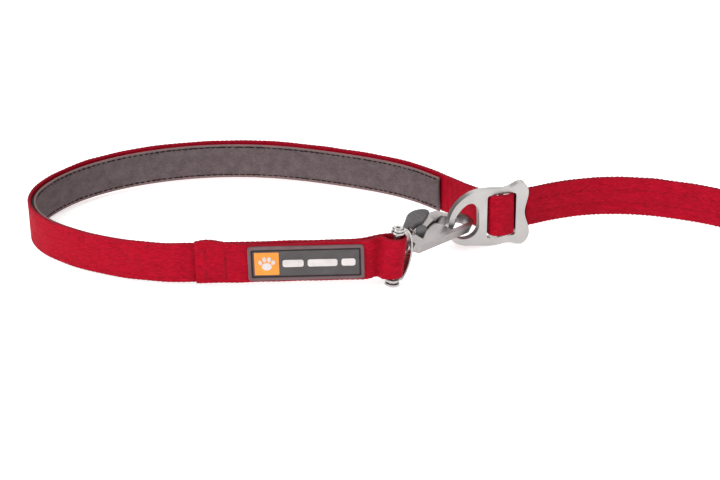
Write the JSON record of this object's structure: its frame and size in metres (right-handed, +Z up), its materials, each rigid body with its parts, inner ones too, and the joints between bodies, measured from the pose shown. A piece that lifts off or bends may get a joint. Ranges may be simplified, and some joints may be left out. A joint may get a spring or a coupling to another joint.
{
  "type": "training leash",
  "caption": "Flat webbing training leash with a padded loop handle closed by a swivel clip hooked into a slider ring, and a lead that ends in a second swivel clip.",
  "frame": {"origin": "centre of the base of the handle, slider and near clip, on the floor", "axes": "+X along the handle from its closed end towards the slider, +Y away from the label side, +Z up"},
  "size_m": [0.5657, 0.2409, 0.0322],
  "materials": {
    "webbing": "matt red flat nylon webbing with a ribbed weave",
    "lining": "soft grey-brown woven lining",
    "foam": "dark closed-cell foam core",
    "label_rubber": "matt dark grey moulded rubber",
    "emblem": "matt orange rubber",
    "ring_metal": "bead-blasted anodised aluminium",
    "clip_metal": "satin forged aluminium",
    "steel": "polished stainless steel",
    "pad_rubber": "matt grey moulded rubber"
  },
  "bodies": {
    "leash": {"handle_webbing": "webbing", "handle_foam": "foam", "handle_lining": "lining", "label_patch": "label_rubber", "label_emblem": "emblem", "near_pin": "steel", "near_pin_screw": "steel", "lead_webbing": "webbing", "lead_coil": "webbing", "lead_end_webbing": "webbing", "far_pin": "steel", "far_pin_screw": "steel"},
    "slider": {"slider_ring": "ring_metal"},
    "near_bow": {"near_bow": "steel"},
    "near_hook": {"near_hook": "clip_metal", "near_swivel_rivet": "steel", "near_gate_spring": "steel"},
    "near_gate": {"near_gate": "clip_metal", "near_gate_pad": "pad_rubber", "near_gate_pin": "steel"},
    "far_bow": {"far_bow": "steel"},
    "far_hook": {"far_hook": "clip_metal", "far_swivel_rivet": "steel", "far_gate_spring": "steel"},
    "far_gate": {"far_gate": "clip_metal", "far_gate_pad": "pad_rubber", "far_gate_pin": "steel"}
  },
  "joints": [
    {"name": "slider_tilt", "type": "hinge", "parent": "leash", "child": "slider", "pos_m": [0.1054, -0.0144, 0.01624], "axis": [0, 0, 1], "range_deg": [-0.5, 0.5]},
    {"name": "near_bow_swing", "type": "hinge", "parent": "leash", "child": "near_bow", "pos_m": [0.05487, -0.0574, 0.01474], "axis": [0.0976, 0, 0.9952], "range_deg": [-0.4, 0.4]},
    {"name": "near_swivel_turn", "type": "hinge", "parent": "near_bow", "child": "near_hook", "pos_m": [0.0734, -0.03377, 0.01452], "axis": [0.6087, 0.7875, -0.0965], "range_deg": [-1.5, 1.5]},
    {"name": "near_gate_open", "type": "hinge", "parent": "near_hook", "child": "near_gate", "pos_m": [0.06427, -0.03848, 0.01696], "axis": [0.3189, -0.1315, 0.9386], "range_deg": [-2, 0], "stiffness_Nm_per_rad": 0.02},
    {"name": "far_bow_swing", "type": "hinge", "parent": "leash", "child": "far_bow", "pos_m": [0.3696, 0.0921, 0.01497], "axis": [-0.1014, 0.0676, 0.9925], "range_deg": [-35, 50]},
    {"name": "far_swivel_turn", "type": "hinge", "parent": "far_bow", "child": "far_hook", "pos_m": [0.34216, 0.10413, 0.01295], "axis": [-0.9053, 0.395, -0.1563], "continuous": true},
    {"name": "far_gate_open", "type": "hinge", "parent": "far_hook", "child": "far_gate", "pos_m": [0.34891, 0.09617, 0.01453], "axis": [-0.1347, 0.0821, 0.9875], "range_deg": [-6, 0], "stiffness_Nm_per_rad": 0.02}
  ]
}
